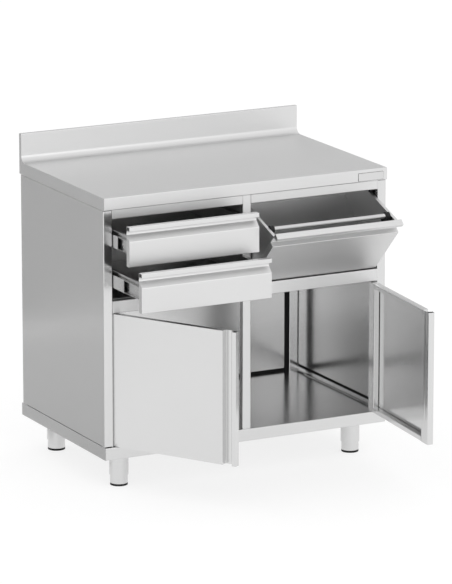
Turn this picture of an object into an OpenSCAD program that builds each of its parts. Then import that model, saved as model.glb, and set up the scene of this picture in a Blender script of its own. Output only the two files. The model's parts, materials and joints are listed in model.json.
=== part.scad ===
// Stainless-steel coffee machine cabinet for a cafe bar. Two drawers on telescopic runners and a
// tilting knock-out hopper sit over a two-door cupboard, under a worktop with a rear upstand.
// Millimetres, +Z up, the front faces -Y. The rest pose has the drawers, hopper and doors open.
// The origin is on the floor, under the middle of the box round the rest pose.

/* [Carcass] */
// Width over the worktop and the base
body_w = 1000; // [840:10:1300]
// Depth over the worktop and the base
body_d = 620; // [600:10:720]
// Height from the floor to the base
foot_h = 106; // [80:1:150]
// Height of the base's skirt
base_h = 40; // [30:1:60]
// Height of the cupboard opening
cupboard_h = 429; // [350:1:500]
// Height of the rail between the cupboard and the drawers
mid_rail_h = 40; // [30:1:60]
// Depth of the rail between the cupboard and the drawers
mid_rail_d = 40; // [34:1:50]
// Height of the opening for the drawers and the hopper
bay_h = 260; // [255:1:320]
// Height of the rail over the drawers
top_rail_h = 30; // [20:1:50]
// Depth of the rail over the drawers
top_rail_d = 45; // [40:1:55]
// Distance from the worktop's front edge back to the closed fronts
front_inset = 7; // [4:0.5:12]
// Width of the corner posts, seen from the front
post_w = 30; // [25:1:45]
// Depth of the folded front posts
post_d = 20; // [20:1:25]
// Width of the centre post
centre_post_w = 30; // [25:1:45]
// Depth of the centre post's returns
centre_post_d = 18; // [14:1:19]
// Width of the rear post tubes
rear_post_w = 35; // [30:1:45]
// Depth of the rear post tubes
rear_post_d = 25; // [20:1:28]
// Wall of the post tubes and liners
post_wall = 1.5; // [1.2:0.1:2]
// Thickness of the carcass sheet
sheet = 1.2; // [0.8:0.1:1.5]
// Outer radius of the folds
bend_r = 2.5; // [2:0.1:4]
// Outer radius of the side panels' rear folds
rear_bend_r = 4; // [3:0.1:5]
// Open line between the side panels and the worktop or base
shadow_gap = 2.5; // [1:0.1:4]
// Width of the side panels' rear return
side_return_w = 24; // [18:1:28]

/* [Worktop] */
// Height of the worktop's skirt
worktop_h = 40; // [30:1:60]
// Thickness of the worktop and base sheet
worktop_sheet = 1.5; // [1.2:0.1:2]
// Width of the return folded under each skirt
return_w = 20; // [17:1:25]
// Height of the upstand over the worktop
upstand_h = 92; // [60:1:150]
// Thickness of the upstand
upstand_t = 15; // [12:1:25]
// Radius of the cove between worktop and upstand
cove_r = 22; // [10:1:30]
// Width of a stiffener's web under the worktop
stiffener_w = 40; // [30:1:60]
// Width of a stiffener's flanges
stiffener_flange = 20; // [15:1:30]
// Distance of the stiffeners from the middle
stiffener_y = 140; // [100:5:180]

/* [Back and shelves] */
// Distance from the rear of the posts to the inner back panel
back_depth = 28.8; // [26:0.1:32]
// Height of the horizontal back rails
back_rail_h = 30; // [20:1:40]
// Open line beside the inner back panel
inner_back_side_gap = 20; // [10:1:30]
// Open line under the inner back panel
inner_back_foot_gap = 10; // [5:1:20]
// Height of the lower back rail over the base
back_rail_rise = 20; // [12:1:30]
// Distance from the closed fronts back to the dust shelf
shelf_setback = 23; // [21:1:30]
// Height of the dust shelf's rear flange
shelf_flange = 15; // [8:1:25]

/* [Fronts] */
// Thickness of the drawer, hopper and door fronts
front_t = 20; // [18:0.5:20]
// Thickness of the fronts' sheet
front_sheet = 1; // [0.8:0.1:1.2]
// Gap at each side of a front
front_gap = 2.5; // [2.3:0.1:4]
// Outer radius of a front's folds
front_bend_r = 2; // [1.5:0.1:3]
// Radius of the edge between a face and its grip
grip_edge_r = 1.5; // [1.2:0.1:2]
// Height of the grip opening on the drawers and the hopper
grip_h = 31; // [26:1:40]
// Height of the rolled lip on the drawers and the hopper
lip_h = 14; // [10:1:20]
// Width of the grip opening on the doors
door_grip_w = 32; // [26:1:40]
// Width of the rolled lip on the doors
door_lip_w = 15; // [12:1:22]
// How far the cove under a lip rises from the lip's edge to its back
grip_hook = 4; // [2:0.5:5]

/* [Drawers] */
// Gap over, under and between the drawer fronts
drawer_gap = 3; // [2:0.1:4]
// Length of a drawer box and of its runners
box_len = 500; // [450:10:540]
// Height of a drawer box
box_h = 59; // [50:1:64]
// Distance from a front's top to its box's top
box_drop = 28.5; // [26:0.5:32]
// Width of the flange folded over the runner
box_flange = 12; // [8:1:12]
// Thickness of a drawer box's sheet
box_sheet = 1; // [0.8:0.1:1.5]
// Space that a runner takes beside a box
runner_w = 13; // [12.7:0.1:14]
// Height of a runner
runner_h = 45; // [35:1:46]
// Thickness of the runner channels
runner_t = 1.2; // [1:0.1:1.3]
// Running gap between the runner channels
slide_gap = 0.3; // [0.2:0.05:0.4]
// Depth of the runner channels' flanges
runner_flange = 10; // [8:0.5:10.5]
// How far the upper drawer is pulled out
upper_pull = 116; // [0:1:450]
// How far the lower drawer is pulled out
lower_pull = 200; // [0:1:450]
// Diameter of the runner screws' heads
screw_head_d = 8; // [5:0.5:9]
// Height of the runner screws' heads
screw_head_h = 2; // [1:0.1:3]
// Distance of the first runner screw from its channel's end
screw_inset = 18; // [12:1:30]
// Distance between the two front runner screws
screw_pitch = 22; // [16:1:32]

/* [Hopper] */
// Gap under the closed hopper
hopper_gap = 5; // [4:0.1:6]
// Depth from the hopper's face to its rear wall
hopper_d = 285; // [240:1:290]
// Height of the rear wall
hopper_rear_h = 105; // [80:1:108]
// Depth of the bend in a side plate's upper edge
knee_d = 165; // [150:1:180]
// Height of the bend in a side plate's upper edge
knee_h = 165; // [150:1:170]
// Height of a side plate behind the front
hopper_side_h = 236; // [225:1:238]
// Width of the folded edge on a side plate
hopper_edge = 10; // [6:1:14]
// Angle at which the hopper stands open
hopper_tilt = 45; // [0:1:45]
// Diameter of the hopper's pivot pins
hopper_pin_d = 6; // [5:0.1:6]
// Distance of the pivot from the hopper's face and its underside
hopper_pin_inset = 6; // [5.8:0.1:6.2]
// Diameter of the knock bar
bar_d = 16; // [12:0.5:20]
// Length of each holder of the knock bar, along the bar
holder_len = 24; // [16:1:40]
// Depth of the knock bar behind the face
bar_depth = 64; // [50:1:90]
// Height of the knock bar over the hopper's underside
bar_height = 208; // [195:1:210]
// Depth of a knock bar holder
holder_d = 24; // [22:1:30]
// Height of a knock bar holder
holder_h = 29; // [24:1:36]
// Length of the knock bar inside each holder
bar_seat = 8; // [5:0.5:12]
// Diameter of the rubber buffers that stop the hopper
buffer_d = 12; // [8:0.5:14]

/* [Doors] */
// Gap over a closed door
door_gap_top = 2; // [1.6:0.1:3]
// Gap under a closed door
door_gap_foot = 1.5; // [1.2:0.1:3]
// Width of the folded stile at the hinge edge
door_stile = 40; // [30:1:60]
// Height of the folded border along a door's top and foot
door_border = 17; // [12:1:30]
// Diameter of the door pins
door_pin_d = 5; // [4:0.1:5]
// Distance of a door pin from the face and from the hinge edge
door_pin_inset = 5; // [4.9:0.1:5.2]
// Height of the pivot blocks inside the stile
pivot_block_h = 25; // [15:1:40]
// Opening angle of the left door
left_open = 59; // [0:1:105]
// Opening angle of the right door
right_open = 85; // [0:1:105]
// Width of a magnetic catch
catch_w = 42; // [30:1:60]
// Depth of a magnetic catch
catch_d = 12; // [8:1:14]
// Height of a magnetic catch
catch_h = 4.5; // [3.5:0.1:6]

/* [Pin fits] */
// Running clearance round a pin
pin_fit = 0.05; // [0.02:0.01:0.1]
// Wall of the pin bushes
bush_wall = 0.9; // [0.7:0.05:1]
// Thickness of a bush's flange
bush_flange_t = 1; // [0.5:0.1:1.1]
// Length of a bush below its flange
bush_len = 7; // [5:0.5:10]

/* [Feet] */
// Distance of the feet's centres from the sides
foot_inset_x = 84; // [70:1:120]
// Distance of the feet's centres from the front and rear
foot_inset_y = 80; // [70:1:120]
// Diameter of the fixed sleeves
sleeve_d = 61; // [59:0.5:66]
// Height of the sleeves
sleeve_h = 72; // [60:1:76]
// Thickness of a sleeve's top plate
sleeve_top_t = 4; // [3:0.5:6]
// Diameter of the sliding legs
leg_d = 56; // [50:0.5:56]
// Wall of the sliding legs
leg_wall = 3; // [2:0.5:4]
// Thickness of the sliding legs' closed foot
leg_foot_t = 6; // [4:0.5:8]
// Length of a sliding leg inside its sleeve
leg_overlap = 46; // [35:1:50]
// Diameter of the levelling studs
stud_d = 10; // [8:1:12]
// Height of the studs over the base's underside
stud_rise = 14; // [10:1:18]
// Diameter of the threaded boss in a sleeve
boss_d = 18; // [16:1:24]
// Length of the threaded boss in a sleeve
boss_h = 18; // [12:1:24]
// Height of the rubber pads
pad_h = 7; // [5:0.5:12]
// Width of the channels that carry the feet
foot_channel_w = 80; // [70:1:90]
// Thickness of the channels that carry the feet
foot_channel_t = 2; // [1.5:0.1:3]

/* [Hidden] */
$fn = 48;
PAIR = [-1, 1];

// Colours of satin steel by how the light falls on it, black rubber and plastic
STEEL = "#d9dadb";
STEEL_SIDE = "#b3b4b5";
STEEL_INSIDE = "#9c9d9f";
RUBBER = "#161616";

// Levels, from the floor up
base_z = foot_h + base_h;
rail_z = base_z + cupboard_h;
bay_z = rail_z + mid_rail_h;
bay_top_z = bay_z + bay_h;
carcass_z = bay_top_z + top_rail_h;
top_z = carcass_z + worktop_h;
upstand_z = top_z + upstand_h;

// Outlines in plan
half_w = body_w / 2;
half_d = body_d / 2;
front_y = -half_d + front_inset;
back_y = half_d - front_inset;
post_x = half_w - post_w;
centre_x = centre_post_w / 2;
bay_w = post_x - centre_x;
front_w = bay_w - 2 * front_gap;
front_back_y = front_y + front_t;
rear_post_y = back_y - sheet - rear_post_d;
rear_post_x = half_w - sheet - rear_post_w;
inner_back_y = back_y - sheet - back_depth;
rail_face_y = inner_back_y + sheet;
edge_left_x = -post_x + front_gap;
edge_centre_x = centre_x + front_gap;

// Heights of the fronts
drawer_h = (bay_h - 3 * drawer_gap) / 2;
lower_z = bay_z + drawer_gap;
upper_z = lower_z + drawer_h + drawer_gap;
hopper_z = bay_z + hopper_gap;
hopper_h = bay_h - hopper_gap - drawer_gap;
door_z = base_z + door_gap_foot;
door_top_z = rail_z - door_gap_top;

// Pivots
door_pin_x = post_x - front_gap - door_pin_inset;
door_pin_y = front_y + door_pin_inset;
hopper_pin_y = front_y + hopper_pin_inset;
hopper_pin_z = hopper_z + hopper_pin_inset;
hopper_mid_x = (post_x + centre_x) / 2;

// Depth of the grip behind the face, and the radius of the cove under its lip
grip_deep = front_t - front_sheet;
grip_land = 3.5;
grip_r = grip_deep - grip_edge_r - grip_land;

// The knock bar between its holders
bar_len = front_w - 2 * (front_sheet + holder_len);

// Box round the rest pose in depth, and the shift that puts the origin under its middle
function door_reach(angle) =
    (front_w - front_bend_r - door_pin_inset) * sin(angle)
    + (door_pin_inset - front_bend_r) * cos(angle) + front_bend_r - door_pin_y;
function hopper_reach(angle) =
    (hopper_h - hopper_pin_inset) * sin(angle) + hopper_pin_inset * cos(angle) - hopper_pin_y;
rest_front_y = -max(half_d, door_reach(left_open), door_reach(right_open),
    hopper_reach(hopper_tilt), upper_pull - front_y, lower_pull - front_y);
shift_y = -(rest_front_y + half_d) / 2;

// Unit vector, and the vector a quarter turn to the left
function unit(v) = v / norm(v);
function left_of(v) = [-v[1], v[0]];

// Points along an arc about c, between two angles
function arc(c, r, from, to) = let (steps = r > 10 ? 12 : 4)
    [for (i = [0:steps]) let (a = from + (to - from) * i / steps) c + r * [cos(a), sin(a)]];

// A corner [x, y, radius] after p and before s, rounded to its radius
function bend(p, q, s) = q[2] == 0 ? [[q[0], q[1]]] :
    let (at = [q[0], q[1]],
         a = unit([p[0], p[1]] - at),
         b = unit([s[0], s[1]] - at),
         half = acos(a * b) / 2,
         c = at + unit(a + b) * q[2] / sin(half),
         start = at + a * q[2] / tan(half) - c,
         end = at + b * q[2] / tan(half) - c,
         from = atan2(start[1], start[0]),
         turn = atan2(end[1], end[0]) - from,
         sweep = turn > 180 ? turn - 360 : turn < -180 ? turn + 360 : turn)
    arc(c, q[2], from, from + sweep);

// The line through corners [x, y, radius], which is one face of a folded sheet
function path(corners) = let (last = len(corners) - 1)
    [for (i = [0:last]) each i == 0 || i == last ? [[corners[i][0], corners[i][1]]]
        : bend(corners[i - 1], corners[i], corners[i + 1])];

// The line moved sideways by t, to its left where t is positive
function beside(line, t) = let (last = len(line) - 1)
    [for (i = [0:last])
        let (a = unit(line[max(i, 1)] - line[max(i, 1) - 1]),
             b = unit(line[min(i, last - 1) + 1] - line[min(i, last - 1)]),
             n = unit(left_of(a) + left_of(b)))
        line[i] + n * t / (n * left_of(a))];

// Outline of a sheet of thickness t folded along a line
function folded(line, t) = let (other = beside(line, t))
    concat(line, [for (i = [len(line) - 1:-1:0]) other[i]]);

function rounded_box(a, b, r) = concat(
    arc([b[0] - r, a[1] + r], r, -90, 0), arc([b[0] - r, b[1] - r], r, 0, 90),
    arc([a[0] + r, b[1] - r], r, 90, 180), arc([a[0] + r, a[1] + r], r, 180, 270));

// Prisms along each axis: of an outline in Y and Z, in X and Z, and in X and Y
module along_x(x0, x1) {
    translate([x0, 0, 0]) rotate([90, 0, 90]) linear_extrude(x1 - x0) children();
}
module along_y(y0, y1) {
    translate([0, y1, 0]) rotate([90, 0, 0]) linear_extrude(y1 - y0) children();
}
module along_z(z0, z1) {
    translate([0, 0, z0]) linear_extrude(z1 - z0) children();
}
module block(a, b) {
    translate(a) cube(b - a);
}
module mirrored(side) {
    mirror([side < 0 ? 1 : 0, 0, 0]) children();
}
// A round bar along X
module round_x(x0, x1, d) {
    translate([x0, 0, 0]) rotate([0, 90, 0]) cylinder(h = x1 - x0, d = d);
}

// Places: the whole model, and the pieces of each moving body at rest
module placed() {
    translate([0, shift_y, 0]) children();
}
module pulled(pull) {
    placed() translate([0, -pull, 0]) children();
}
module tilted() {
    placed() translate([0, hopper_pin_y, hopper_pin_z]) rotate([hopper_tilt, 0, 0])
        translate([0, -hopper_pin_y, -hopper_pin_z]) children();
}
module swung(side, angle) {
    placed() translate([side * door_pin_x, door_pin_y, 0]) rotate([0, 0, side * angle])
        translate([-side * door_pin_x, -door_pin_y, 0]) children();
}
module at_feet() {
    for (x = PAIR * (half_w - foot_inset_x), y = PAIR * (half_d - foot_inset_y))
        translate([x, y, 0]) children();
}

// A pan with its skirts down: a folded section along X, closed at both ends
module skirted_pan(line, skirt_z, pan_z, deck_y) {
    difference() {
        union() {
            along_x(-half_w + worktop_sheet, half_w - worktop_sheet)
                polygon(folded(line, -worktop_sheet));
            for (s = PAIR) mirrored(s) {
                along_x(half_w - worktop_sheet, half_w) polygon(line);
                block([half_w - return_w, -half_d + return_w, skirt_z],
                    [half_w, half_d - return_w, skirt_z + worktop_sheet]);
            }
        }
        for (s = PAIR) mirrored(s) along_y(-half_d - 1, deck_y)
            polygon(concat([[half_w + 1, pan_z + 1], [half_w - bend_r, pan_z + 1]],
                [for (a = [90:-15:0]) [half_w - bend_r, pan_z - bend_r] + bend_r * [cos(a), sin(a)]],
                [[half_w + 1, pan_z - bend_r]]));
    }
}

module worktop() {
    face_y = half_d - upstand_t;
    color(STEEL) placed() skirted_pan(path([
        [-half_d + return_w, carcass_z, 0], [-half_d, carcass_z, bend_r],
        [-half_d, top_z, bend_r], [face_y, top_z, cove_r], [face_y, upstand_z, bend_r],
        [half_d, upstand_z, bend_r], [half_d, carcass_z, bend_r],
        [half_d - return_w, carcass_z, 0]]), carcass_z, top_z, face_y - cove_r);
}

module worktop_stiffeners() {
    w = stiffener_w / 2;
    under = top_z - worktop_sheet;
    color(STEEL_INSIDE) placed() for (s = PAIR) translate([0, s * stiffener_y, 0])
        along_x(-half_w + return_w + 1, half_w - return_w - 1)
            polygon(folded(path([[-w - stiffener_flange, under, 0], [-w - 2, under, bend_r],
                [-w, carcass_z + worktop_sheet, bend_r], [w, carcass_z + worktop_sheet, bend_r],
                [w + 2, under, bend_r], [w + stiffener_flange, under, 0]]), -worktop_sheet));
}

module side_panel(s) {
    difference() {
        along_z(base_z + shadow_gap, carcass_z - shadow_gap) mirrored(s)
            polygon(folded(path([[post_x, front_y + post_d, 0], [post_x, front_y, bend_r],
                [half_w, front_y, bend_r], [half_w, back_y, rear_bend_r],
                [half_w - side_return_w, back_y, 0]]), sheet));
        if (s > 0) hopper_bush_hole();
    }
}
module side_panel_left() {
    color(STEEL_SIDE) placed() side_panel(-1);
}
module side_panel_right() {
    color(STEEL_SIDE) placed() side_panel(1);
}

// Channel that stiffens the folded front post from behind
module front_post(s) {
    inner = post_x + sheet;
    outer = half_w - sheet;
    leg_y = front_y + sheet + bend_r;
    difference() {
        along_z(base_z, carcass_z) mirrored(s)
            polygon(folded([[inner, leg_y], [inner, front_y + post_d], [outer, front_y + post_d],
                [outer, leg_y]], -post_wall));
        if (s > 0) hopper_bush_hole();
    }
}
module front_post_left() {
    color(STEEL_INSIDE) placed() front_post(-1);
}
module front_post_right() {
    color(STEEL_INSIDE) placed() front_post(1);
}

module rear_post(s) {
    a = [rear_post_x, rear_post_y];
    b = [half_w - sheet, back_y - sheet];
    wall = [post_wall, post_wall];
    along_z(base_z, carcass_z) mirrored(s) difference() {
        polygon(rounded_box(a, b, rear_bend_r));
        polygon(rounded_box(a + wall, b - wall, rear_bend_r - post_wall));
    }
}
module rear_post_left() {
    color(STEEL_INSIDE) placed() rear_post(-1);
}
module rear_post_right() {
    color(STEEL_INSIDE) placed() rear_post(1);
}

module centre_post() {
    rear = front_y + centre_post_d;
    color(STEEL) placed() difference() {
        along_z(base_z, carcass_z) polygon(folded(path([[-centre_x, rear, 0],
            [-centre_x, front_y, bend_r], [centre_x, front_y, bend_r], [centre_x, rear, 0]]), sheet));
        hopper_bush_hole();
    }
}

// A rail folded into a channel that is open to the rear, one length over each bay
module channel_rail(z0, z1, depth) {
    line = path([[front_y + depth, z1, 0], [front_y, z1, bend_r], [front_y, z0, bend_r],
        [front_y + depth, z0, 0]]);
    for (s = PAIR) mirrored(s) along_x(centre_x, post_x) polygon(folded(line, sheet));
}
module top_rail() {
    color(STEEL) placed() channel_rail(bay_top_z, carcass_z, top_rail_d);
}
module mid_rail() {
    color(STEEL) placed() difference() {
        channel_rail(rail_z, bay_z, mid_rail_d);
        for (s = PAIR) translate([s * door_pin_x, door_pin_y, rail_z - 1])
            cylinder(h = bush_len + 2, r = bush_r(door_pin_d) + pin_fit);
    }
}

module back_rails() {
    low = base_z + back_rail_rise;
    color(STEEL_INSIDE) placed() for (z = [low, bay_z - back_rail_h, carcass_z - back_rail_h])
        along_x(-rear_post_x, rear_post_x)
            polygon(folded(path([[back_y - sheet, z, 0], [rail_face_y, z, bend_r],
                [rail_face_y, z + back_rail_h, bend_r], [back_y - sheet, z + back_rail_h, 0]]),
                -sheet));
}

module back_panel() {
    edge = half_w - side_return_w - 1;
    color(STEEL_SIDE) placed() block([-edge, back_y - sheet, base_z + shadow_gap],
        [edge, back_y, carcass_z - shadow_gap]);
}

module inner_back_panel() {
    edge = rear_post_x - inner_back_side_gap;
    color(STEEL_INSIDE) placed() block([-edge, inner_back_y, base_z + inner_back_foot_gap],
        [edge, rail_face_y, bay_z - shadow_gap]);
}

module dust_shelf() {
    edge = rear_post_x - 0.5;
    rear = back_y - sheet - 1;
    color(STEEL) placed() along_x(-edge, edge)
        polygon(folded(path([[front_y + shelf_setback, bay_z, 0], [rear, bay_z, bend_r],
            [rear, bay_z + shelf_flange, 0]]), sheet));
}

module base_tray() {
    color(STEEL) placed() difference() {
        skirted_pan(path([[-half_d + return_w, foot_h, 0], [-half_d, foot_h, bend_r],
            [-half_d, base_z, bend_r], [half_d, base_z, bend_r], [half_d, foot_h, bend_r],
            [half_d - return_w, foot_h, 0]]), foot_h, base_z, half_d + 1);
        for (s = PAIR) translate([s * door_pin_x, door_pin_y, base_z - 5])
            cylinder(h = 6, r = bush_r(door_pin_d) + pin_fit);
    }
}

module foot_channels() {
    w = foot_channel_w / 2;
    deck = base_z - worktop_sheet;
    color(STEEL_INSIDE) placed() difference() {
        for (s = PAIR) translate([s * (half_w - foot_inset_x), 0, 0])
            along_y(-half_d + return_w, half_d - return_w)
                polygon(folded(path([[-w, deck, 0], [-w, foot_h, bend_r], [w, foot_h, bend_r],
                    [w, deck, 0]]), foot_channel_t));
        at_feet() translate([0, 0, foot_h - 1]) cylinder(h = base_h / 2, d = stud_d + 2);
    }
}

sleeve_bore_d = leg_d + 2 * slide_gap;
module foot_sleeves() {
    plate_z = foot_h - sleeve_top_t;
    color(STEEL) placed() at_feet() difference() {
        translate([0, 0, foot_h - sleeve_h]) cylinder(h = sleeve_h, d = sleeve_d);
        translate([0, 0, foot_h - sleeve_h - 1]) difference() {
            cylinder(h = sleeve_h - sleeve_top_t + 1, d = sleeve_bore_d);
            translate([0, 0, sleeve_h - sleeve_top_t + 1 - boss_h])
                cylinder(h = boss_h + 1, d = boss_d);
        }
        translate([0, 0, plate_z - boss_h - 1])
            cylinder(h = boss_h + sleeve_top_t + 2, d = stud_d + 2 * pin_fit);
    }
}

// Front to back sheet between the drawers and the hopper
module centre_divider() {
    front = front_y + centre_post_d;
    far = centre_x - bend_r;
    color(STEEL_INSIDE) placed() along_z(bay_z + sheet, carcass_z)
        polygon(folded(path([[far, front, 0], [-centre_x, front, bend_r],
            [-centre_x, rail_face_y, bend_r], [far, rail_face_y, 0]]), -sheet));
}

// Sheet that carries the left-hand runners, level with the post's edge
module drawer_side_plate() {
    color(STEEL_INSIDE) placed() along_z(lower_z, carcass_z - sheet)
        polygon(folded(path([[-half_w + sheet + bend_r, front_y + post_d, 0],
            [-post_x, front_y + post_d, bend_r], [-post_x, rear_post_y, bend_r],
            [-half_w + sheet + bend_r, rear_post_y, 0]]), sheet));
}

// Flanged bush round a pin: the flange lies on the face at z = 0, the body goes up from it
function bush_r(pin_d) = pin_d / 2 + pin_fit + bush_wall;
module bush(pin_d) {
    difference() {
        union() {
            cylinder(h = bush_len, r = bush_r(pin_d));
            translate([0, 0, -bush_flange_t]) cylinder(h = bush_flange_t, r = bush_r(pin_d) + 1);
        }
        translate([0, 0, -bush_flange_t - 1])
            cylinder(h = bush_len + bush_flange_t + 2, d = pin_d + 2 * pin_fit);
    }
}

module door_bushes() {
    color(RUBBER) placed() for (s = PAIR) translate([s * door_pin_x, door_pin_y, 0]) {
        translate([0, 0, rail_z]) bush(door_pin_d);
        translate([0, 0, base_z]) rotate([180, 0, 0]) bush(door_pin_d);
    }
}

module door_catches() {
    color(RUBBER) placed() for (s = PAIR) mirrored(s)
        block([edge_centre_x, front_back_y + slide_gap, rail_z - catch_h],
            [edge_centre_x + catch_w, front_back_y + slide_gap + catch_d, rail_z]);
}

// Seats of the hopper's bushes in the centre post and the right-hand post
module hopper_bush_hole() {
    translate([0, hopper_pin_y, hopper_pin_z]) for (s = PAIR)
        round_x(hopper_mid_x + s * bay_w / 2 - bush_len, hopper_mid_x + s * bay_w / 2 + bush_len,
            2 * (bush_r(hopper_pin_d) + pin_fit));
}

module hopper_bushes() {
    color(RUBBER) placed() translate([hopper_mid_x, hopper_pin_y, hopper_pin_z])
        for (s = PAIR) mirrored(s) translate([bay_w / 2, 0, 0]) rotate([0, 90, 0])
            bush(hopper_pin_d);
}

// Rubber buffers under the top rail, where the hopper's side plates come to rest
edge_slope = (knee_h - hopper_rear_h) / (hopper_d - knee_d);
module hopper_buffers() {
    y = front_back_y + buffer_d / 2 + drawer_gap + 3;
    reach = y + buffer_d / 2 - hopper_pin_y;
    knee = [knee_d - hopper_pin_inset, knee_h - hopper_pin_inset];
    rear = [hopper_d - hopper_pin_inset, hopper_rear_h - hopper_pin_inset];
    knee_y = knee[0] * cos(45) - knee[1] * sin(45);
    knee_z = knee[0] * sin(45) + knee[1] * cos(45);
    rear_y = rear[0] * cos(45) - rear[1] * sin(45);
    rear_z = rear[0] * sin(45) + rear[1] * cos(45);
    edge_z = hopper_pin_z + knee_z + (reach - knee_y) * (rear_z - knee_z) / (rear_y - knee_y);
    color(RUBBER) placed() for (s = PAIR)
        translate([hopper_mid_x + s * (front_w / 2 - front_sheet - hopper_edge / 2), y,
            edge_z + slide_gap]) cylinder(h = bay_top_z - edge_z - slide_gap, d = buffer_d);
}

// Outer radius of the runner channels' folds
runner_r = runner_t + 0.8;
// The two runners of a drawer, from a profile drawn from the cabinet towards the box
module runner_pair(z0) {
    for (s = PAIR) translate([-hopper_mid_x, front_back_y + drawer_gap, z0]) mirrored(s)
        translate([-bay_w / 2, 0, 0]) along_y(0, box_len) children();
}
module runner_channel(outset, rim) {
    top = runner_h - outset;
    line = path([[rim, outset, 0], [outset, outset, runner_r], [outset, top, runner_r],
        [rim, top, 0]]);
    polygon(folded(line, -runner_t));
}
module runner_fixed(z0) {
    runner_pair(z0) runner_channel(0, runner_flange);
}
module runner_middle(z0) {
    runner_pair(z0) runner_channel(runner_t + slide_gap, runner_flange);
}
module runner_inner(z0) {
    inset = 2 * (runner_t + slide_gap);
    line = path([[inset, inset, 0], [runner_w, inset, runner_r],
        [runner_w, runner_h - inset, runner_r], [inset, runner_h - inset, 0]]);
    runner_pair(z0) polygon(folded(line, runner_t));
}
function box_z(front_z) = front_z + drawer_h - box_drop - box_h;
module runner_fixed_upper() {
    color(STEEL_INSIDE) placed() runner_fixed(box_z(upper_z));
}
module runner_fixed_lower() {
    color(STEEL_INSIDE) placed() runner_fixed(box_z(lower_z));
}
module runner_middle_upper() {
    color(STEEL_INSIDE) pulled(upper_pull / 2) runner_middle(box_z(upper_z));
}
module runner_middle_lower() {
    color(STEEL_INSIDE) pulled(lower_pull / 2) runner_middle(box_z(lower_z));
}
module runner_inner_upper() {
    color(STEEL_INSIDE) pulled(upper_pull) runner_inner(box_z(upper_z));
}
module runner_inner_lower() {
    color(STEEL_INSIDE) pulled(lower_pull) runner_inner(box_z(lower_z));
}

// Screw heads in the inner channels, two near the front and one near the rear
module runner_screws(z0) {
    for (s = PAIR, y = [screw_inset, screw_inset + screw_pitch, box_len - 2 * screw_inset])
        translate([-hopper_mid_x, front_back_y + drawer_gap + y, z0 + runner_h / 2]) mirrored(s)
            round_x(-bay_w / 2 + runner_w - runner_t - screw_head_h,
                -bay_w / 2 + runner_w - runner_t, screw_head_d);
}
module runner_screws_upper() {
    color(STEEL) pulled(upper_pull) runner_screws(box_z(upper_z));
}
module runner_screws_lower() {
    color(STEEL) pulled(lower_pull) runner_screws(box_z(lower_z));
}

// Section of a folded front, as corners [depth, distance up the front, radius]: from the inside
// of the sheet's start, over the face and its ledge, up the back of the grip and forward along the
// cove under the hollow lip, round the lip and down behind it
function ledge_corners(face) = [[0, face, grip_edge_r], [grip_deep, face, front_bend_r]];
function lip_corners(foot, tip) = [[grip_deep, foot + grip_hook, grip_r], [0, foot, grip_edge_r],
    [0, tip, grip_edge_r], [front_t, tip, grip_edge_r], [front_t, foot - grip_r / 2, 0]];
function front_line(start, face, grip, lip) = path(concat(start, [[front_t, 0, front_bend_r],
    [0, 0, front_bend_r]], ledge_corners(face), lip_corners(face + grip, face + grip + lip)));

// The space behind a face and under its ledge, from a depth inside the sheet's outer face
function behind_face(from, face, depth) = let (line = beside(path(concat([[0, from, 0]],
        ledge_corners(face), [[grip_deep, face + 2 * grip_r, 0]])), -depth))
    concat([for (i = [0:len(line) - 2]) line[i]], [[grip_deep + depth, from]]);

// How far the end caps lie inside a front's ends
cap_reveal = 0.3;
// Drawer or hopper front: the folded sheet, and a cap behind the face at each end
module pull_front(x0, x1, height) {
    face = height - grip_h - lip_h;
    t = front_sheet;
    along_x(x0, x1)
        polygon(folded(front_line([[front_t, face - 1.5 * t, 0]], face, grip_h, lip_h), -t));
    for (x = [x0 + cap_reveal, x1 - cap_reveal - t])
        along_x(x, x + t) polygon(behind_face(t / 2, face, t / 2));
}
module drawer_front(z0) {
    translate([0, front_y, z0]) pull_front(edge_left_x, edge_left_x + front_w, drawer_h);
}
module drawer_front_upper() {
    color(STEEL) pulled(upper_pull) drawer_front(upper_z);
}
module drawer_front_lower() {
    color(STEEL) pulled(lower_pull) drawer_front(lower_z);
}

// Drawer box: floor, sides and flanges folded from one sheet, with a front and a rear wall
module drawer_box(z0) {
    side_x = bay_w / 2 - runner_w;
    top = box_h - box_sheet;
    rear = front_back_y + box_len;
    translate([-hopper_mid_x, 0, z0]) {
        along_y(front_back_y, rear) polygon(folded(path([[-side_x - box_flange, top, 0],
            [-side_x, top, box_sheet], [-side_x, 0, bend_r], [side_x, 0, bend_r],
            [side_x, top, box_sheet], [side_x + box_flange, top, 0]]), box_sheet));
        for (y = [front_back_y, rear - box_sheet]) along_y(y, y + box_sheet)
            polygon([[-side_x + bend_r, 0], [side_x - bend_r, 0], [side_x, bend_r],
                [side_x, box_h], [-side_x, box_h], [-side_x, bend_r]]);
    }
}
module drawer_box_upper() {
    color(STEEL_INSIDE) pulled(upper_pull) drawer_box(box_z(upper_z));
}
module drawer_box_lower() {
    color(STEEL_INSIDE) pulled(lower_pull) drawer_box(box_z(lower_z));
}

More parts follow.
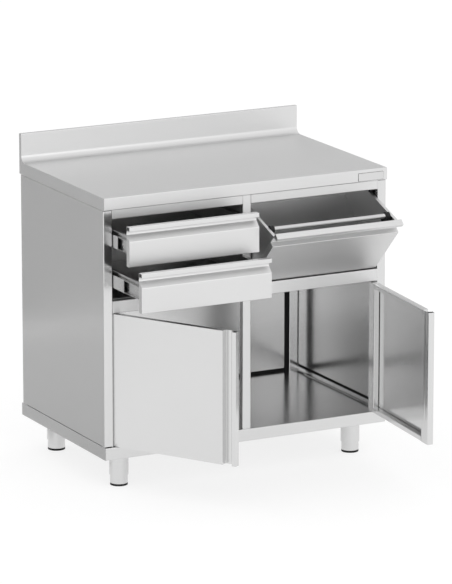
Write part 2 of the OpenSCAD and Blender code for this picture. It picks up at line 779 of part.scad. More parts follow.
// The hopper's pieces in its own place: Y is depth behind the face, Z is height over its foot
module in_hopper() {
    tilted() translate([0, front_y, hopper_z]) children();
}
module hopper_front() {
    color(STEEL) in_hopper() difference() {
        pull_front(edge_centre_x, edge_centre_x + front_w, hopper_h);
        translate([0, hopper_pin_inset, hopper_pin_inset])
            round_x(centre_x, post_x, hopper_pin_d + 2 * pin_fit);
    }
}
module hopper_floor() {
    t = front_sheet;
    color(STEEL_INSIDE) in_hopper() along_x(edge_centre_x + t, edge_centre_x + front_w - t)
        polygon(folded(path([[front_t, hopper_h - grip_h - lip_h, 0], [front_t, 0, bend_r],
            [hopper_d, 0, bend_r], [hopper_d, hopper_rear_h, 0]]), t));
}
module hopper_side(s) {
    t = front_sheet;
    edge = [[front_t, hopper_side_h], [knee_d, knee_h], [hopper_d, hopper_rear_h]];
    color(STEEL_INSIDE) in_hopper() translate([hopper_mid_x, 0, 0]) mirrored(s) {
        along_x(front_w / 2 - t, front_w / 2)
            polygon(concat([[hopper_d, 0], [front_t, 0]], edge));
        along_x(front_w / 2 - hopper_edge, front_w / 2 - t) polygon(folded(edge, -t));
    }
}
module hopper_side_left() {
    hopper_side(-1);
}
module hopper_side_right() {
    hopper_side(1);
}
module hopper_pins() {
    end = front_w / 2 - front_sheet - cap_reveal;
    color(STEEL) in_hopper() translate([hopper_mid_x, hopper_pin_inset, hopper_pin_inset])
        for (s = PAIR) mirrored(s) {
            round_x(end - 2, bay_w / 2 + bush_len, hopper_pin_d);
            round_x(end - 2, end, hopper_pin_d + 3);
        }
}
module knock_bar() {
    color(STEEL) in_hopper() translate([hopper_mid_x, bar_depth, bar_height])
        round_x(-bar_len / 2 - bar_seat, bar_len / 2 + bar_seat, bar_d);
}
module knock_bar_holders() {
    edge_h = hopper_side_h - (bar_depth + holder_d / 2 - front_t)
        * (hopper_side_h - knee_h) / (knee_d - front_t) - 2 * front_sheet;
    wall_x = front_w / 2 - front_sheet;
    color(RUBBER) in_hopper() translate([hopper_mid_x, bar_depth, 0]) for (s = PAIR)
        mirrored(s) difference() {
            union() {
                along_x(bar_len / 2, wall_x) polygon(rounded_box([-holder_d / 2, edge_h - holder_h],
                    [holder_d / 2, edge_h], 4));
                translate([0, 0, bar_height])
                    round_x(bar_len / 2, wall_x - hopper_edge, holder_d);
            }
            translate([0, 0, bar_height])
                round_x(bar_len / 2 - 1, bar_len / 2 + bar_seat + slide_gap, bar_d + 2 * pin_fit);
        }
}

// A door's outline in plan, from points [depth, distance from the hinge edge]
function door_plan(s, points) =
    [for (p = points) [s * (post_x - front_gap - p[1]), front_y + p[0]]];
door_face = front_w - door_grip_w - door_lip_w;
module door_skin(s) {
    start = [[front_sheet + 2, door_stile, 0], [front_t, door_stile, front_bend_r]];
    along_z(door_z, door_top_z) polygon(door_plan(s,
        folded(front_line(start, door_face, door_grip_w, door_lip_w), -front_sheet)));
}
// Open line between a door's borders and the ledge of its grip
seam = 0.5;
// Channels folded along the door's foot and top, from the stile to the grip
module door_borders(s) {
    t = front_sheet;
    edge_x = post_x - front_gap;
    for (top = [false, true])
        translate([0, front_y, top ? door_top_z : door_z]) mirror([0, 0, top ? 1 : 0])
            mirrored(s) along_x(edge_x - door_face + t + seam, edge_x - door_stile)
                polygon(folded(path([[t + 2, door_border, 0], [front_t, door_border, front_bend_r],
                    [front_t, 0, front_bend_r], [t, 0, 0]]), -t));
}
// Block in the stile at each end of the door, with the pin that stands out of it
module door_pivots(s) {
    t = front_sheet;
    plan = rounded_box([t, t], [front_t - t, door_stile - t], front_bend_r);
    pin = door_gap_foot + bush_len + 1;
    for (top = [false, true]) translate([0, 0, top ? door_top_z : door_z])
        mirror([0, 0, top ? 1 : 0]) {
            along_z(0, pivot_block_h) polygon(door_plan(s, plan));
            translate([s * door_pin_x, door_pin_y, -pin])
                cylinder(h = pin + pivot_block_h / 2, d = door_pin_d);
        }
}
module door_skin_left() {
    color(STEEL) swung(-1, left_open) door_skin(-1);
}
module door_skin_right() {
    color(STEEL) swung(1, right_open) door_skin(1);
}
module door_borders_left() {
    color(STEEL_SIDE) swung(-1, left_open) door_borders(-1);
}
module door_borders_right() {
    color(STEEL_SIDE) swung(1, right_open) door_borders(1);
}
module door_pivots_left() {
    color(STEEL) swung(-1, left_open) door_pivots(-1);
}
module door_pivots_right() {
    color(STEEL) swung(1, right_open) door_pivots(1);
}

// Levelling feet: a cup that slides in the sleeve, with its stud, on a rubber pad
module foot_leg(sx, sy) {
    color(STEEL) placed() translate([sx * (half_w - foot_inset_x), sy * (half_d - foot_inset_y),
        pad_h]) {
        difference() {
            cylinder(h = foot_h - sleeve_h - pad_h + leg_overlap, d = leg_d);
            translate([0, 0, leg_foot_t]) cylinder(h = sleeve_h, d = leg_d - 2 * leg_wall);
        }
        cylinder(h = foot_h + stud_rise - pad_h, d = stud_d);
    }
}
module foot_pad(sx, sy) {
    color(RUBBER) placed() translate([sx * (half_w - foot_inset_x), sy * (half_d - foot_inset_y),
        0]) {
        cylinder(h = pad_h - 1, d = leg_d);
        translate([0, 0, pad_h - 1]) cylinder(h = 1, d1 = leg_d, d2 = leg_d - 2);
    }
}
module foot_leg_front_left() {
    foot_leg(-1, -1);
}
module foot_leg_front_right() {
    foot_leg(1, -1);
}
module foot_leg_rear_left() {
    foot_leg(-1, 1);
}
module foot_leg_rear_right() {
    foot_leg(1, 1);
}
module foot_pad_front_left() {
    foot_pad(-1, -1);
}
module foot_pad_front_right() {
    foot_pad(1, -1);
}
module foot_pad_rear_left() {
    foot_pad(-1, 1);
}
module foot_pad_rear_right() {
    foot_pad(1, 1);
}

worktop();
worktop_stiffeners();
side_panel_left();
side_panel_right();
front_post_left();
front_post_right();
rear_post_left();
rear_post_right();
centre_post();
top_rail();
mid_rail();
back_rails();
back_panel();
inner_back_panel();
dust_shelf();
base_tray();
foot_channels();
foot_sleeves();
centre_divider();
drawer_side_plate();
door_bushes();
door_catches();
hopper_bushes();
hopper_buffers();
runner_fixed_upper();
runner_fixed_lower();
runner_middle_upper();
runner_middle_lower();
runner_inner_upper();
runner_inner_lower();
drawer_front_upper();
drawer_front_lower();
drawer_box_upper();
drawer_box_lower();
runner_screws_upper();
runner_screws_lower();
hopper_front();
hopper_floor();
hopper_side_left();
hopper_side_right();
hopper_pins();
knock_bar();
knock_bar_holders();
door_skin_left();
door_skin_right();
door_borders_left();
door_borders_right();
door_pivots_left();
door_pivots_right();
foot_leg_front_left();
foot_leg_front_right();
foot_leg_rear_left();
foot_leg_rear_right();
foot_pad_front_left();
foot_pad_front_right();
foot_pad_rear_left();
foot_pad_rear_right();
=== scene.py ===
import json
import math

import bmesh
import bpy
from mathutils import Matrix, Vector


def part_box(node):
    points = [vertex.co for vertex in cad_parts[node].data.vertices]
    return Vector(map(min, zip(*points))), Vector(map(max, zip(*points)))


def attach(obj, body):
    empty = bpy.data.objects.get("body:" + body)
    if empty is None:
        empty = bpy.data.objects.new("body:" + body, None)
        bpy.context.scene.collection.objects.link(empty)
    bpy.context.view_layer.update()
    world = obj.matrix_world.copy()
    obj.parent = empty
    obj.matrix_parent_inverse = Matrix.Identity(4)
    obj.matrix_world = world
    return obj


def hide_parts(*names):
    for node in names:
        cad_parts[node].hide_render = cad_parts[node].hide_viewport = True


# Stainless-steel coffee machine cabinet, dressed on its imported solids. Lengths are in metres.
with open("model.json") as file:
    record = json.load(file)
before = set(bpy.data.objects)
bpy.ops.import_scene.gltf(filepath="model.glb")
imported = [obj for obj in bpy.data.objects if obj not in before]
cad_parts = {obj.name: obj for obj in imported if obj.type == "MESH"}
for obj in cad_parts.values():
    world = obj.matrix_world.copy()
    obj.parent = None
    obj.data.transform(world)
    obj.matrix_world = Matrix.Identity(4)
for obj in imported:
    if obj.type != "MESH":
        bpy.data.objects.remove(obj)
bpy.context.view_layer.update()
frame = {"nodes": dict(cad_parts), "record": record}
MM = 0.001
MERGE = 0.002 * MM  # closer points of a node's mesh are one corner
SHARP = math.radians(35)  # edges that turn further than this shade as cut edges
X_AXIS, Y_AXIS, Z_AXIS = 0, 1, 2


# Camera, at the photograph's view
def place_camera(position, azimuth, elevation, lens):
    """Camera at a position, looking back along the azimuth and the elevation in degrees."""
    turn, rise = math.radians(azimuth), math.radians(elevation)
    back = Vector((math.sin(turn) * math.cos(rise), -math.cos(turn) * math.cos(rise),
                   math.sin(rise)))
    camera = bpy.data.objects.new("camera", bpy.data.cameras.new("camera"))
    camera.data.lens = lens
    camera.data.clip_start = 0.1
    camera.data.clip_end = 200
    camera.location = position
    camera.rotation_mode = "QUATERNION"
    camera.rotation_quaternion = back.to_track_quat("Z", "Y")
    bpy.context.collection.objects.link(camera)
    bpy.context.scene.camera = camera


# Fitted to the photograph's long straight edges
place_camera(position=(-6.2399, -11.9518, 3.8917), azimuth=-27.4615, elevation=13.8302,
             lens=270.37)


# Materials
def linear(code):
    """Linear colour of an sRGB hex value."""
    parts = [int(code[i:i + 2], 16) / 255 for i in (1, 3, 5)]
    return [p / 12.92 if p <= 0.04045 else ((p + 0.055) / 1.055) ** 2.4 for p in parts] + [1.0]


def add(tree, kind, links=None, **settings):
    """Adds a shader node. links gives its inputs: a value, or the socket that feeds one."""
    node = tree.nodes.new("ShaderNode" + kind)
    for name, value in settings.items():
        setattr(node, name, value)
    for name, value in (links or {}).items():
        if isinstance(value, bpy.types.NodeSocket):
            tree.links.new(value, node.inputs[name])
        else:
            node.inputs[name].default_value = value
    return node


def new_material(name):
    """Material with its node tree emptied."""
    material = bpy.data.materials.new(name)
    material.use_nodes = True
    material.node_tree.nodes.clear()
    return material, material.node_tree


def ground_steel(name, tone, along, rough, depth):
    """Satin stainless sheet, ground with a belt along one axis, so that light smears across the
    grain. Real scratches are some 0.05 mm apart, and are drawn 0.4 mm apart so that they show.
    The belt leaves broader bands, and hands leave faint clouds. depth is the scratches' in mm."""
    material, tree = new_material(name)
    place = add(tree, "TexCoord").outputs["Object"]
    scratch_gap, scratch_run = 0.4 * MM, 60 * MM
    band_gap, band_run = 9 * MM, 400 * MM
    cloud_size = 170 * MM
    fine = [1 / scratch_gap] * 3
    fine[along] = 1 / scratch_run
    band = [1 / band_gap] * 3
    band[along] = 1 / band_run
    scratch = add(tree, "TexNoise", {
        "Vector": add(tree, "Mapping", {"Vector": place, "Scale": fine}).outputs[0],
        "Scale": 1.0, "Detail": 2.0, "Roughness": 0.6})
    belt = add(tree, "TexNoise", {
        "Vector": add(tree, "Mapping", {"Vector": place, "Scale": band}).outputs[0],
        "Scale": 1.0, "Detail": 3.0, "Roughness": 0.55})
    cloud = add(tree, "TexNoise", {"Vector": place, "Scale": 1 / cloud_size, "Detail": 3.0})
    grain = add(tree, "MapRange", {0: scratch.outputs[0], 1: 0.3, 2: 0.7, 3: rough - 0.02,
                                   4: rough + 0.02})
    wear = add(tree, "MapRange", {0: cloud.outputs[0], 1: 0.35, 2: 0.65, 3: -0.01, 4: 0.01})
    banding = add(tree, "MapRange", {0: belt.outputs[0], 1: 0.3, 2: 0.7, 3: -0.006, 4: 0.006})
    total = add(tree, "Math", {0: grain.outputs[0], 1: wear.outputs[0]}, operation="ADD")
    total = add(tree, "Math", {0: total.outputs[0], 1: banding.outputs[0]}, operation="ADD")
    relief = add(tree, "Bump", {"Height": scratch.outputs[0], "Strength": 0.12,
                                "Distance": depth * MM})
    shader = add(tree, "BsdfPrincipled", {
        "Base Color": linear(tone), "Metallic": 1.0, "Roughness": total.outputs[0],
        "Normal": relief.outputs[0]})
    add(tree, "OutputMaterial", {"Surface": shader.outputs[0]})
    return material


def zinc_plate(name, tone):
    """Bright zinc-plated steel of runners and hidden sections: smooth, with the cloudy bloom of
    the plating at about 25 mm and a rolled grain under it."""
    material, tree = new_material(name)
    place = add(tree, "TexCoord").outputs["Object"]
    bloom = add(tree, "TexNoise", {"Vector": place, "Scale": 1 / (25 * MM), "Detail": 4.0})
    rolled = add(tree, "TexNoise", {"Vector": add(tree, "Mapping", {
        "Vector": place, "Scale": (1 / (1.2 * MM), 1 / (50 * MM), 1 / (1.2 * MM))}).outputs[0],
        "Scale": 1.0, "Detail": 2.0})
    rough = add(tree, "MapRange", {0: bloom.outputs[0], 1: 0.3, 2: 0.7, 3: 0.24, 4: 0.38})
    relief = add(tree, "Bump", {"Height": rolled.outputs[0], "Strength": 0.1,
                                "Distance": 0.02 * MM})
    shader = add(tree, "BsdfPrincipled", {
        "Base Color": linear(tone), "Metallic": 1.0, "Roughness": rough.outputs[0],
        "Normal": relief.outputs[0]})
    add(tree, "OutputMaterial", {"Surface": shader.outputs[0]})
    return material


def moulded_rubber(name, tone):
    """Black moulded rubber: dull, with the 0.6 mm pebble of the mould and paler scuffs."""
    material, tree = new_material(name)
    place = add(tree, "TexCoord").outputs["Object"]
    pebble = add(tree, "TexVoronoi", {"Vector": place, "Scale": 1 / (0.6 * MM)},
                 feature="SMOOTH_F1")
    scuff = add(tree, "TexNoise", {"Vector": place, "Scale": 1 / (12 * MM), "Detail": 5.0})
    rough = add(tree, "MapRange", {0: scuff.outputs[0], 1: 0.35, 2: 0.7, 3: 0.55, 4: 0.78})
    relief = add(tree, "Bump", {"Height": pebble.outputs[0], "Strength": 0.25,
                                "Distance": 0.08 * MM})
    dust = add(tree, "MapRange", {0: scuff.outputs[0], 1: 0.45, 2: 0.8, 3: 0.0, 4: 0.35})
    colour = add(tree, "Mix", {0: dust.outputs[0], 6: linear(tone), 7: linear("#3a3a3b")},
                 data_type="RGBA")
    shader = add(tree, "BsdfPrincipled", {
        "Base Color": colour.outputs[2], "Roughness": rough.outputs[0], "IOR": 1.52,
        "Specular IOR Level": 0.35, "Normal": relief.outputs[0]})
    add(tree, "OutputMaterial", {"Surface": shader.outputs[0]})
    return material


def moulded_plastic(name, tone):
    """Black acetal of bushes and catches: waxy, with a fine spark-eroded mould texture."""
    material, tree = new_material(name)
    place = add(tree, "TexCoord").outputs["Object"]
    spark = add(tree, "TexNoise", {"Vector": place, "Scale": 1 / (0.3 * MM), "Detail": 2.0})
    rough = add(tree, "MapRange", {0: spark.outputs[0], 1: 0.3, 2: 0.7, 3: 0.34, 4: 0.46})
    relief = add(tree, "Bump", {"Height": spark.outputs[0], "Strength": 0.15,
                                "Distance": 0.03 * MM})
    shader = add(tree, "BsdfPrincipled", {
        "Base Color": linear(tone), "Roughness": rough.outputs[0], "IOR": 1.48,
        "Normal": relief.outputs[0]})
    add(tree, "OutputMaterial", {"Surface": shader.outputs[0]})
    return material


# Satin stainless ground along the width: soft, and smeared up and down
steel_across = ground_steel("ground_stainless_across", "#dadada", X_AXIS, 0.42, 0.03)
# The same sheet ground upwards: smeared sideways, a little brighter
steel_upright = ground_steel("ground_stainless_upright", "#dadada", Z_AXIS, 0.34, 0.03)
# Finer upright grind of the large panels: it mirrors shapes in a blur
steel_panel = ground_steel("fine_ground_stainless_panel", "#dadada", Z_AXIS, 0.2, 0.02)
# The same finer grind along the width, for the cupboard floor
steel_floor = ground_steel("fine_ground_stainless_floor", "#dadada", X_AXIS, 0.2, 0.02)
# Coarser grind of the hopper's front: nearly even, with no mirror shapes, in a paler tone that is
# painted light to brighten the tilted face
brightened_hopper_steel = ground_steel("ground_stainless_hopper_painted_light", "#dedede", X_AXIS, 0.52, 0.03)
# Stainless of the inner sheets in a darker tone: painted shade for the shade inside the drawer bay
shaded_inside_steel = ground_steel("ground_stainless_inside_painted_shade", "#c5c5c5", Z_AXIS, 0.3, 0.03)
# Fine stainless of the small plate: even, with faint scratches
plate_steel = ground_steel("ground_plate_steel", "#d6d6d6", X_AXIS, 0.3, 0.01)
# Bright drawn stainless bar: sharp highlights along its length
bright_bar = ground_steel("bright_drawn_bar", "#d0d0d0", X_AXIS, 0.14, 0.01)
# Bright zinc plating: cloudy, between dull and bright
zinc = zinc_plate("zinc_plated_steel", "#cacaca")
# Moulded rubber: black and dull, greyed where it scuffs
rubber = moulded_rubber("moulded_black_rubber", "#141415")
# Moulded acetal: black with a waxy sheen
plastic = moulded_plastic("moulded_black_acetal", "#1b1b1c")

# What each node is made of. A key stands for all nodes whose names start with it
FINISHES = {
    "worktop": steel_across, "side_panel": steel_panel, "front_post": zinc,
    "rear_post": steel_panel, "centre_post": steel_upright, "top_rail": steel_across,
    "mid_rail": steel_across, "back_rails": steel_panel, "back_panel": steel_upright,
    "inner_back_panel": steel_panel, "dust_shelf": steel_across, "base_tray": steel_floor,
    "foot_channels": zinc, "foot_sleeves": steel_upright, "centre_divider": shaded_inside_steel,
    "drawer_side_plate": shaded_inside_steel, "door_bushes": plastic, "door_catches": plastic,
    "hopper_bushes": plastic, "hopper_buffers": rubber, "runner": zinc,
    "drawer_front": steel_across, "drawer_box": shaded_inside_steel, "hopper": steel_across,
    "hopper_front": brightened_hopper_steel, "hopper_pins": steel_across, "knock_bar": bright_bar,
    "knock_bar_holders": rubber, "door_skin": steel_panel, "door_borders": steel_panel,
    "door_pivots": steel_upright, "foot_leg": steel_upright, "foot_pad": rubber,
    "worktop_stiffeners": zinc,
}


def finish_of(name):
    """Material whose key is the longest start of the node's name."""
    return FINISHES[max((k for k in FINISHES if name.startswith(k)), key=len)]


# Nodes: each is shown as a merged copy, so that folds and cylinders shade as the curves they are
def body_of(name):
    """Moving body that a node belongs to."""
    for body, nodes in frame["record"]["behaviour"]["bodies"].items():
        if name in nodes:
            return body
    raise ValueError(name)


def show(piece, body, material):
    """Gives a finished piece its material, and the body that it belongs to."""
    piece.data.materials.clear()
    piece.data.materials.append(material)
    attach(piece, body)


def shade_folds(work):
    """Shades a sheet's bends round and leaves its cut edges sharp."""
    for face in work.faces:
        face.smooth = True
    for edge in work.edges:
        if len(edge.link_faces) == 2:
            edge.smooth = edge.calc_face_angle(0) < SHARP


def steady_normals(piece):
    """Lets a sheet's large flat faces set the normals at its bends."""
    steady = piece.modifiers.new("steady_normals", "WEIGHTED_NORMAL")
    steady.keep_sharp = True
    steady.weight = 100


def smooth_copy(name):
    """Copy of a node with its triangles merged into faces and its folds shaded round."""
    mesh = frame["nodes"][name].data.copy()
    mesh.name = name + "_sheet"
    work = bmesh.new()
    work.from_mesh(mesh)
    bmesh.ops.remove_doubles(work, verts=work.verts, dist=MERGE)
    bmesh.ops.dissolve_limit(work, angle_limit=math.radians(0.2), verts=work.verts,
                             edges=work.edges, delimit={"NORMAL"})
    shade_folds(work)
    work.to_mesh(mesh)
    work.free()
    piece = bpy.data.objects.new(name + "_sheet", mesh)
    bpy.context.collection.objects.link(piece)
    steady_normals(piece)
    show(piece, body_of(name), finish_of(name))
    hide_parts(name)
    return piece


# Nodes that new pieces replace further down
REMADE = ("drawer_front", "runner_screws")
for node_name in frame["nodes"]:
    if not node_name.startswith(REMADE):
        smooth_copy(node_name)


# New pieces
def finished(name, work, body, material):
    """Object of a finished bmesh, on its body, with its material."""
    bmesh.ops.recalc_face_normals(work, faces=work.faces)
    mesh = bpy.data.meshes.new(name)
    work.to_mesh(mesh)
    work.free()
    piece = bpy.data.objects.new(name, mesh)
    bpy.context.collection.objects.link(piece)
    show(piece, body, material)
    return piece


def lying_along(edge, axis):
    """Whether an edge runs along an axis."""
    run = edge.verts[1].co - edge.verts[0].co
    return abs(run[axis]) > 0.999 * run.length


def bevelled(work, edges, width, segments):
    """Rounds some edges."""
    bmesh.ops.bevel(work, geom=edges, offset=width, segments=segments, profile=0.5,
                    affect="EDGES", material=-1)


def rounded_plate(name, low, high, corner, rim, material):
    """Flat plate facing -Y, with round corners and a broken front edge."""
    work = bmesh.new()
    bmesh.ops.create_cube(work, size=1)
    bmesh.ops.scale(work, vec=high - low, verts=work.verts)
    bmesh.ops.translate(work, vec=(high + low) / 2, verts=work.verts)
    bevelled(work, [e for e in work.edges if lying_along(e, Y_AXIS)], corner, 6)
    front = [e for e in work.edges if all(v.co.y < low.y + 0.01 * MM for v in e.verts)]
    bevelled(work, front, rim, 2)
    return finished(name, work, "cabinet", material)


def bare_plate():
    """Blank plate on the worktop's skirt, on a black tape whose rim is painted shadow: it shows as
    a dark line round the plate.
    """
    skirt_y = min(v.co.y for v in frame["nodes"]["worktop"].data.vertices)
    shadow_pad = 0.6 * MM
    thick = 0.9 * MM
    low = Vector((395 * MM, skirt_y - shadow_pad, 908 * MM))
    high = Vector((486 * MM, skirt_y, 934.5 * MM))
    # Black tape under the plate: its rim is a painted shadow line round the plate
    rounded_plate("plate_shadow_pad", low, high, 2.5 * MM, 0.1 * MM, plastic)
    edge = Vector((0.8 * MM, 0, 0.8 * MM))
    rounded_plate("bare_plate", low + edge - Vector((0, thick, 0)),
                  high - edge - Vector((0, shadow_pad, 0)), 2 * MM, 0.25 * MM, plate_steel)


def pan_head(work, centre, side, radius, height):
    """Pan head that stands out along X from its seat at centre, with a cross recess."""
    segments = 24
    recess_r, recess_deep = 0.45 * radius, 0.6 * height
    head = bmesh.new()
    bmesh.ops.create_circle(head, cap_ends=True, cap_tris=True, segments=segments,
                            radius=recess_r)
    arms = [f for i, f in enumerate(sorted(head.faces, key=lambda f: math.atan2(
        f.calc_center_median().y, f.calc_center_median().x))) if i % (segments // 4) == 0]
    rim = [e for e in head.edges if e.is_boundary]
    for reach, drop in ((0.85, 0.22), (1.0, 0.5), (1.0, 1.0)):
        ring = bmesh.ops.extrude_edge_only(head, edges=rim)["geom"]
        verts = [g for g in ring if isinstance(g, bmesh.types.BMVert)]
        rim = [g for g in ring if isinstance(g, bmesh.types.BMEdge) and g.is_boundary]
        for vert in verts:
            flat = Vector((vert.co.x, vert.co.y, 0)).normalized() * reach * radius
            vert.co = Vector((flat.x, flat.y, -drop * height))
    recess = bmesh.ops.extrude_face_region(head, geom=arms)["geom"]
    bmesh.ops.translate(head, vec=(0, 0, -recess_deep),
                        verts=[g for g in recess if isinstance(g, bmesh.types.BMVert)])
    bmesh.ops.delete(head, geom=arms, context="FACES_ONLY")
    turn = Matrix.Rotation(math.radians(90 * side), 4, "Y")
    bmesh.ops.transform(head, verts=head.verts, matrix=Matrix.Translation(
        centre + Vector((side * height, 0, 0))) @ turn)
    mesh = bpy.data.meshes.new("head")
    head.to_mesh(mesh)
    head.free()
    work.from_mesh(mesh)
    bpy.data.meshes.remove(mesh)


def islands(mesh):
    """Lowest and highest corner of each separate solid in a mesh."""
    work = bmesh.new()
    work.from_mesh(mesh)
    bmesh.ops.remove_doubles(work, verts=work.verts, dist=MERGE)
    left = set(work.verts)
    boxes = []
    while left:
        found = {left.pop()}
        edge_of = list(found)
        while edge_of:
            for edge in edge_of.pop().link_edges:
                for vert in edge.verts:
                    if vert in left:
                        left.remove(vert)
                        found.add(vert)
                        edge_of.append(vert)
        corners = [v.co for v in found]
        boxes.append([Vector([pick(c[i] for c in corners) for i in range(3)])
                      for pick in (min, max)])
    work.free()
    return boxes


def runner_screws(name):
    """Pan heads in place of a runner's plain screw heads."""
    boxes = islands(frame["nodes"][name].data)
    middle = sum((low.x + high.x) / 2 for low, high in boxes) / len(boxes)
    work = bmesh.new()
    for low, high in boxes:
        centre = (low + high) / 2
        side = -1 if centre.x < middle else 1
        seat = Vector((high.x if side < 0 else low.x, centre.y, centre.z))
        pan_head(work, seat, side, (high.z - low.z) / 2, high.x - low.x)
    piece = finished(name + "_heads", work, body_of(name), zinc)
    for face in piece.data.polygons:
        face.use_smooth = True
    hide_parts(name)


def node_box(*names):
    """Lowest and highest corner of some nodes."""
    boxes = [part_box(name) for name in names]
    return (Vector([min(box[0][i] for box in boxes) for i in range(3)]),
            Vector([max(box[1][i] for box in boxes) for i in range(3)]))


def folded_section(corners, wall, steps=6):
    """Both faces of a folded sheet's section, as lists of points. A corner is its place across
    and up, and the radius of its bend. The wall lies to the left of the way along them."""
    near, far = [], []
    spots = [complex(across, up) for across, up, radius in corners]
    for i, (spot, (across, up, radius)) in enumerate(zip(spots, corners)):
        before = spot - spots[i - 1] if i else spots[1] - spot
        after = spots[i + 1] - spot if i + 1 < len(spots) else before
        before, after = before / abs(before), after / abs(after)
        turn = math.atan2((after / before).imag, (after / before).real)
        side = math.copysign(1, turn)
        if radius == 0 or abs(turn) < 0.001:
            near.append(spot)
            far.append(spot + 1j * before * wall)
            continue
        centre = spot + before * (1j * side - math.tan(abs(turn) / 2)) * radius
        for step in range(steps + 1):
            bend = turn * step / steps
            out = -1j * side * before * complex(math.cos(bend), math.sin(bend))
            near.append(centre + out * radius)
            far.append(centre + out * (radius - side * wall))
    return near, far


def swept(work, corners, along):
    """Adds a solid: a flat outline of corners, swept along a vector."""
    face = work.faces.new([work.verts.new(corner) for corner in corners])
    end = bmesh.ops.extrude_face_region(work, geom=[face])["geom"]
    bmesh.ops.translate(work, vec=along,
                        verts=[g for g in end if isinstance(g, bmesh.types.BMVert)])


def drawer_front(name):
    """Folded front of a drawer. The face slopes back into the grip, whose back comes forward in
    a cove under the lip, and the lip is folded round to the front's rear. A cap closes the space
    behind the face at each end."""
    low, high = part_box(name)
    rear, top, width = high.y - low.y, high.z - low.z, high.x - low.x
    sheet, deep, opening, lip = 1 * MM, 19 * MM, 31 * MM, 14 * MM
    fold_r, roll_r, back_r, cove_r, lip_r = 2 * MM, 4 * MM, 6 * MM, 8 * MM, 1.5 * MM
    hook = 4 * MM
    face = top - opening - lip
    slope = [(0, face, roll_r), (deep, face + deep, back_r)]
    near, far = folded_section(
        [(rear, face + deep - 2.5 * sheet, 0), (rear, 0, fold_r), (0, 0, fold_r)] + slope
        + [(deep, face + opening + hook, cove_r), (0, face + opening, lip_r), (0, top, lip_r),
           (rear, top, lip_r), (rear, face + opening - hook, 0)], -sheet)
    inset, reveal = 0.5 * sheet, 0.3 * MM
    cap = folded_section([(0, inset, 0)] + slope + [(deep, top, 0)], -inset)[1][:-1]
    cap.append(complex(deep + inset, inset))
    work = bmesh.new()
    for outline, start, length in ((near + far[::-1], 0, width), (cap, reveal, sheet),
                                   (cap, width - reveal - sheet, sheet)):
        swept(work, [low + Vector((start, p.real, p.imag)) for p in outline],
              Vector((length, 0, 0)))
    bmesh.ops.recalc_face_normals(work, faces=work.faces)
    shade_folds(work)
    piece = finished(name + "_fold", work, body_of(name), finish_of(name))
    steady_normals(piece)
    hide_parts(name)


def fold_return(name, corner, inward, upward, along):
    """Angle of thin sheet that closes a panel's edge: one leg on the panel, one along the deck."""
    leg, flange, fold_r, sheet = 8 * MM, 18 * MM, 2.5 * MM, 1.2 * MM
    near, far = folded_section([(0, leg, 0), (0, 0, fold_r), (flange, 0, 0)], sheet)
    work = bmesh.new()
    swept(work, [corner + inward * p.real + upward * p.imag for p in near + far[::-1]], along)
    finished(name, work, "cabinet", steel_floor)


def panel_returns():
    """Returns at the foot and the top of the side panels and the back panel."""
    low, high = node_box("side_panel_left", "side_panel_right")
    back_low, back_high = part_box("back_panel")
    rear_low, rear_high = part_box("rear_post_left")
    post_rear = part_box("front_post_left")[1].y
    sheet = back_high.y - back_low.y
    lift, seat, clear = 2.2 * MM, 0.05 * MM, 1 * MM
    across, along, up = Vector((1, 0, 0)), Vector((0, 1, 0)), Vector((0, 0, 1))
    edges = ((1, "foot", low.z - lift), (-1, "top", high.z + lift))
    for side, hand, x in ((1, "left", low.x), (-1, "right", high.x)):
        for end, word, z in edges:
            fold_return("side_return_%s_%s" % (hand, word),
                        Vector((x + side * (sheet + seat), post_rear + clear, z)),
                        side * across, end * up, along * (rear_low.y - post_rear - 2 * clear))
    for end, word, z in edges:
        fold_return("back_return_" + word,
                    Vector((rear_high.x + clear, back_low.y - seat, z)), -along, end * up,
                    across * -2 * (rear_high.x + clear))


def shade_strip(work, low, high):
    """Adds a flat strip that paints shade in black rubber, given by its corners."""
    box = bmesh.ops.create_cube(work, size=1)["verts"]
    bmesh.ops.scale(work, vec=high - low, verts=box)
    bmesh.ops.translate(work, vec=(low + high) / 2, verts=box)


def cupboard_shade_strips():
    """Black rubber strips of painted shade in the cupboard, beside and under the inner rear sheet
    and along the side panels' foot: they stand where the gaps are dark with shade, and block light
    through them.
    """
    low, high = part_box("inner_back_panel")
    post_low, post_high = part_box("rear_post_right")
    side_high = node_box("side_panel_left", "side_panel_right")[1]
    post_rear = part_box("front_post_left")[1].y
    slit, thick, sheet, strip_foot, strip_top = 0.1 * MM, 0.8 * MM, 1.3 * MM, 1 * MM, 17 * MM
    front, rear, deck = high.y - slit - thick, high.y - slit, post_low.z
    work = bmesh.new()
    for side in (-1, 1):
        ends = sorted((side * (high.x + slit), side * (post_low.x - slit)))
        shade_strip(work, Vector((ends[0], front, deck + slit)), Vector((ends[1], rear, high.z)))
    shade_strip(work, Vector((low.x, front, deck + slit)), Vector((high.x, rear, low.z - slit)))
    finished("rear_shade_strips", work, "cabinet", rubber)
    work = bmesh.new()
    for side in (-1, 1):
        inner = side_high.x - sheet
        ends = sorted((side * (inner - thick), side * inner))
        shade_strip(work, Vector((ends[0], post_rear + 1 * MM, deck + strip_foot)),
                   Vector((ends[1], low.y, deck + strip_top)))
    finished("foot_shade_strips", work, "cabinet", rubber)


panel_returns()
cupboard_shade_strips()
bare_plate()
for level in ("upper", "lower"):
    drawer_front("drawer_front_" + level)
for level in ("upper", "lower"):
    runner_screws("runner_screws_" + level)


# Stage
def stage_sheet(name, size, place, material):
    """Flat sheet of the studio. size is its width and height, place turns and puts it."""
    work = bmesh.new()
    bmesh.ops.create_grid(work, x_segments=1, y_segments=1, size=0.5)
    bmesh.ops.scale(work, vec=(size[0], size[1], 1), verts=work.verts)
    bmesh.ops.transform(work, matrix=place, verts=work.verts)
    mesh = bpy.data.meshes.new(name)
    work.to_mesh(mesh)
    work.free()
    mesh.materials.append(material)
    piece = bpy.data.objects.new(name, mesh)
    bpy.context.collection.objects.link(piece)
    return piece


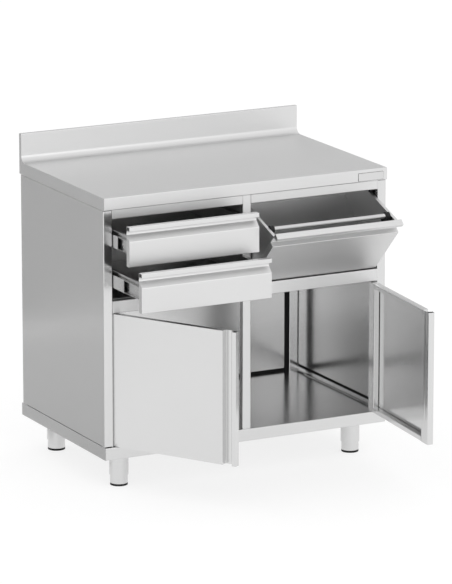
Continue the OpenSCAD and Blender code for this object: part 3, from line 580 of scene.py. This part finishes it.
def standing(x, y, z, turn):
    """Place of an upright sheet whose middle is at x, y, z, turned about the vertical."""
    return (Matrix.Translation((x, y, z)) @ Matrix.Rotation(math.radians(turn), 4, "Z")
            @ Matrix.Rotation(math.radians(90), 4, "X"))


def paper_floor():
    """White paper sweep. A camera or glossy ray also sees a plain glow, so that the floor comes
    out white and keeps a soft shadow under the cabinet."""
    material, tree = new_material("white_paper_sweep")
    rays = add(tree, "LightPath")
    seen = add(tree, "Math", {0: rays.outputs["Is Camera Ray"], 1: rays.outputs["Is Glossy Ray"]},
               operation="MAXIMUM")
    seen = add(tree, "Math", {0: seen.outputs[0], 1: rays.outputs["Is Transmission Ray"]},
               operation="MAXIMUM")
    glow = add(tree, "Emission", {"Color": linear("#ffffff"), "Strength": 0.76})
    paper = add(tree, "BsdfDiffuse", {"Color": linear("#8c8c8c")})
    both = add(tree, "AddShader", {0: glow.outputs[0], 1: paper.outputs[0]})
    plain = add(tree, "BsdfDiffuse", {"Color": linear("#e0e0e0")})
    out = add(tree, "MixShader", {0: seen.outputs[0], 1: plain.outputs[0], 2: both.outputs[0]})
    add(tree, "OutputMaterial", {"Surface": out.outputs[0]})
    return material


def grey_cloth(name, tone):
    """Grey flag cloth that tones a reflection in the metal. All other rays pass it."""
    material, tree = new_material(name)
    cloth = add(tree, "BsdfDiffuse", {"Color": linear(tone)})
    clear = add(tree, "BsdfTransparent")
    out = add(tree, "MixShader", {0: add(tree, "LightPath").outputs["Is Glossy Ray"],
                                  1: clear.outputs[0], 2: cloth.outputs[0]})
    add(tree, "OutputMaterial", {"Surface": out.outputs[0]})
    return material


# Flags and a card whose only effect is the grey that the side and the worktop mirror
side_cloth = grey_cloth("mid_grey_flag_cloth", "#cacaca")
stage_sheet("floor", (80, 80), Matrix.Translation((0, 0, -0.5 * MM)), paper_floor())
stage_sheet("side_flag", (3.2, 2.6), standing(-2.3, 1.9, 1.31, 0), side_cloth)
stage_sheet("side_card", (3.4, 1.7), Matrix.Translation((-2.3, 1.0, 3 * MM)), side_cloth)
stage_sheet("rear_flag", (6, 3.2), standing(1.6, 3.2, 2.6, 0),
            grey_cloth("pale_grey_flag_cloth", "#dedede"))

softbox = bpy.data.objects.new("softbox", bpy.data.lights.new("softbox", "AREA"))
softbox.data.shape = "RECTANGLE"
softbox.data.size = 3.4
softbox.data.size_y = 2.4
softbox.data.energy = 38
softbox.location = (0.3, -5.0, 2.1)
softbox.rotation_mode = "QUATERNION"
aim = Vector((0, 0, 0.6))
softbox.rotation_quaternion = (softbox.location - aim).to_track_quat("Z", "Y")
bpy.context.collection.objects.link(softbox)

world = bpy.data.worlds.new("studio")
world.use_nodes = True
world.node_tree.nodes.clear()
room = add(world.node_tree, "Background", {"Color": linear("#ffffff"), "Strength": 1.0})
add(world.node_tree, "OutputWorld", {"Surface": room.outputs[0]})
bpy.context.scene.world = world
bpy.context.scene.view_settings.view_transform = "Standard"

bpy.context.view_layer.update()
